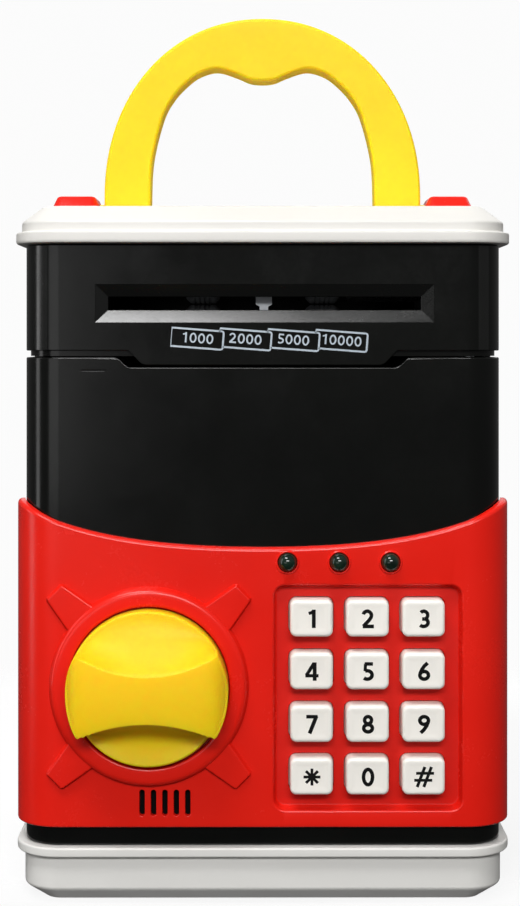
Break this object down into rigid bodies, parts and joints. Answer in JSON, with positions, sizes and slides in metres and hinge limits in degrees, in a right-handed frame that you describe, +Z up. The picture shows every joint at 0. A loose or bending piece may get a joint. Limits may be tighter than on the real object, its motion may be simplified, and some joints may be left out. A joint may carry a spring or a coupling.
{
  "type": "toy atm savings bank",
  "caption": "Toy cash-machine money box with keypad door, turning knob latch, motor note feeder, coin slot and folding carry handle.",
  "frame": {"origin": "centre of the base's underside, on the plane it stands on", "axes": "+Z up, -Y out of the front with the keypad, +X to the viewer's right"},
  "size_m": [0.1356, 0.1406, 0.246],
  "materials": {
    "black_plastic": "smooth moulded ABS, semi-gloss",
    "white_plastic": "fine satin moulded ABS",
    "yellow_plastic": "smooth moulded ABS, satin gloss",
    "red_plastic": "smooth moulded ABS, glossy",
    "key_plastic": "satin key caps, printed digits",
    "lamp_lens": "clear dark resin lens",
    "steel": "plated steel",
    "gear_metal": "turned brass",
    "rubber": "matt silicone rubber",
    "grey_plastic": "moulded acetal",
    "dark_plastic": "textured moulded ABS",
    "board": "solder-masked circuit board",
    "gear_plastic": "moulded acetal",
    "battery_sleeve": "plain printed shrink sleeve"
  },
  "bodies": {
    "case": {"rear_housing": "black_plastic", "front_fascia": "black_plastic", "base_tray": "white_plastic", "top_cap": "white_plastic", "hinge_cover_left": "red_plastic", "hinge_cover_right": "red_plastic", "strike_plate": "steel", "hinge_pin_lower": "steel", "hinge_pin_upper": "steel", "base_screw_1": "steel", "base_screw_2": "steel", "base_screw_3": "steel", "base_screw_4": "steel", "battery_cover": "white_plastic", "battery_screw": "steel", "battery_cell_1": "battery_sleeve", "battery_cell_2": "battery_sleeve", "battery_cell_3": "battery_sleeve", "battery_contact_left": "steel", "battery_contact_right": "steel", "feeder_frame": "dark_plastic", "feed_motor": "steel"},
    "handle": {"handle": "yellow_plastic"},
    "door": {"door_shell": "black_plastic", "control_panel": "red_plastic", "door_back_cover": "dark_plastic", "keypad_membrane": "rubber", "keypad_board": "board", "led_left": "lamp_lens", "led_middle": "lamp_lens", "led_right": "lamp_lens", "speaker": "dark_plastic", "bolt_guide": "steel", "solenoid_body": "steel"},
    "key_1": {"key_1": "key_plastic"},
    "key_2": {"key_2": "key_plastic"},
    "key_3": {"key_3": "key_plastic"},
    "key_4": {"key_4": "key_plastic"},
    "key_5": {"key_5": "key_plastic"},
    "key_6": {"key_6": "key_plastic"},
    "key_7": {"key_7": "key_plastic"},
    "key_8": {"key_8": "key_plastic"},
    "key_9": {"key_9": "key_plastic"},
    "key_star": {"key_star": "key_plastic"},
    "key_0": {"key_0": "key_plastic"},
    "key_hash": {"key_hash": "key_plastic"},
    "knob": {"knob": "yellow_plastic", "knob_spindle": "grey_plastic"},
    "latch": {"latch_bolt": "grey_plastic"},
    "plunger": {"solenoid_plunger": "steel", "plunger_spring": "steel"},
    "upper_roller": {"upper_roller_shaft": "gear_plastic", "upper_tyre_left": "rubber", "upper_tyre_right": "rubber", "drive_gear": "gear_plastic"},
    "lower_roller": {"lower_roller_shaft": "gear_plastic", "lower_tyre_left": "rubber", "lower_tyre_right": "rubber"},
    "motor_rotor": {"motor_pinion": "gear_metal"},
    "sensor_lever": {"sensor_lever": "grey_plastic"}
  },
  "joints": [
    {"name": "door_hinge", "type": "hinge", "parent": "case", "child": "door", "pos_m": [0.058, -0.041, 0.082], "axis": [0, 0, 1], "range_deg": [0, 90]},
    {"name": "handle_fold", "type": "hinge", "parent": "case", "child": "handle", "pos_m": [0, -0.019, 0.1903], "axis": [-1, 0, 0], "range_deg": [0, 90]},
    {"name": "key_1_press", "type": "slide", "parent": "door", "child": "key_1", "axis": [0, 1, 0], "range_m": [0, 0.0012], "stiffness_N_per_m": 300, "springref_m": -0.0004},
    {"name": "key_2_press", "type": "slide", "parent": "door", "child": "key_2", "axis": [0, 1, 0], "range_m": [0, 0.0012], "stiffness_N_per_m": 300, "springref_m": -0.0004},
    {"name": "key_3_press", "type": "slide", "parent": "door", "child": "key_3", "axis": [0, 1, 0], "range_m": [0, 0.0012], "stiffness_N_per_m": 300, "springref_m": -0.0004},
    {"name": "key_4_press", "type": "slide", "parent": "door", "child": "key_4", "axis": [0, 1, 0], "range_m": [0, 0.0012], "stiffness_N_per_m": 300, "springref_m": -0.0004},
    {"name": "key_5_press", "type": "slide", "parent": "door", "child": "key_5", "axis": [0, 1, 0], "range_m": [0, 0.0012], "stiffness_N_per_m": 300, "springref_m": -0.0004},
    {"name": "key_6_press", "type": "slide", "parent": "door", "child": "key_6", "axis": [0, 1, 0], "range_m": [0, 0.0012], "stiffness_N_per_m": 300, "springref_m": -0.0004},
    {"name": "key_7_press", "type": "slide", "parent": "door", "child": "key_7", "axis": [0, 1, 0], "range_m": [0, 0.0012], "stiffness_N_per_m": 300, "springref_m": -0.0004},
    {"name": "key_8_press", "type": "slide", "parent": "door", "child": "key_8", "axis": [0, 1, 0], "range_m": [0, 0.0012], "stiffness_N_per_m": 300, "springref_m": -0.0004},
    {"name": "key_9_press", "type": "slide", "parent": "door", "child": "key_9", "axis": [0, 1, 0], "range_m": [0, 0.0012], "stiffness_N_per_m": 300, "springref_m": -0.0004},
    {"name": "key_star_press", "type": "slide", "parent": "door", "child": "key_star", "axis": [0, 1, 0], "range_m": [0, 0.0012], "stiffness_N_per_m": 300, "springref_m": -0.0004},
    {"name": "key_0_press", "type": "slide", "parent": "door", "child": "key_0", "axis": [0, 1, 0], "range_m": [0, 0.0012], "stiffness_N_per_m": 300, "springref_m": -0.0004},
    {"name": "key_hash_press", "type": "slide", "parent": "door", "child": "key_hash", "axis": [0, 1, 0], "range_m": [0, 0.0012], "stiffness_N_per_m": 300, "springref_m": -0.0004},
    {"name": "knob_turn", "type": "hinge", "parent": "door", "child": "knob", "pos_m": [-0.0306, -0.0628, 0.0594], "axis": [0, 1, 0], "range_deg": [0, 90]},
    {"name": "latch_slide", "type": "slide", "parent": "door", "child": "latch", "axis": [-1, 0, 0], "range_m": [0, 0.00786]},
    {"name": "plunger_slide", "type": "slide", "parent": "door", "child": "plunger", "axis": [0, 0, 1], "range_m": [0, 0.0022], "stiffness_N_per_m": 60, "springref_m": -0.0002, "deforming": ["plunger_spring"]},
    {"name": "upper_roller_spin", "type": "hinge", "parent": "case", "child": "upper_roller", "pos_m": [0, -0.046, 0.16835], "axis": [1, 0, 0], "continuous": true},
    {"name": "lower_roller_spin", "type": "hinge", "parent": "case", "child": "lower_roller", "pos_m": [0, -0.046, 0.15635], "axis": [1, 0, 0], "continuous": true},
    {"name": "motor_spin", "type": "hinge", "parent": "case", "child": "motor_rotor", "pos_m": [0.046, -0.0358, 0.16835], "axis": [1, 0, 0], "continuous": true},
    {"name": "sensor_lever_swing", "type": "hinge", "parent": "case", "child": "sensor_lever", "pos_m": [0.0008, -0.053, 0.1705], "axis": [1, 0, 0], "range_deg": [0, 35], "stiffness_Nm_per_rad": 0.0004, "springref_deg": -11.46}
  ],
  "couplings": [
    {"joint": "latch_slide", "follows": "knob_turn", "m_per_rad": 0.005},
    {"joint": "lower_roller_spin", "follows": "upper_roller_spin", "ratio": -1},
    {"joint": "motor_spin", "follows": "upper_roller_spin", "ratio": -3.25}
  ]
}
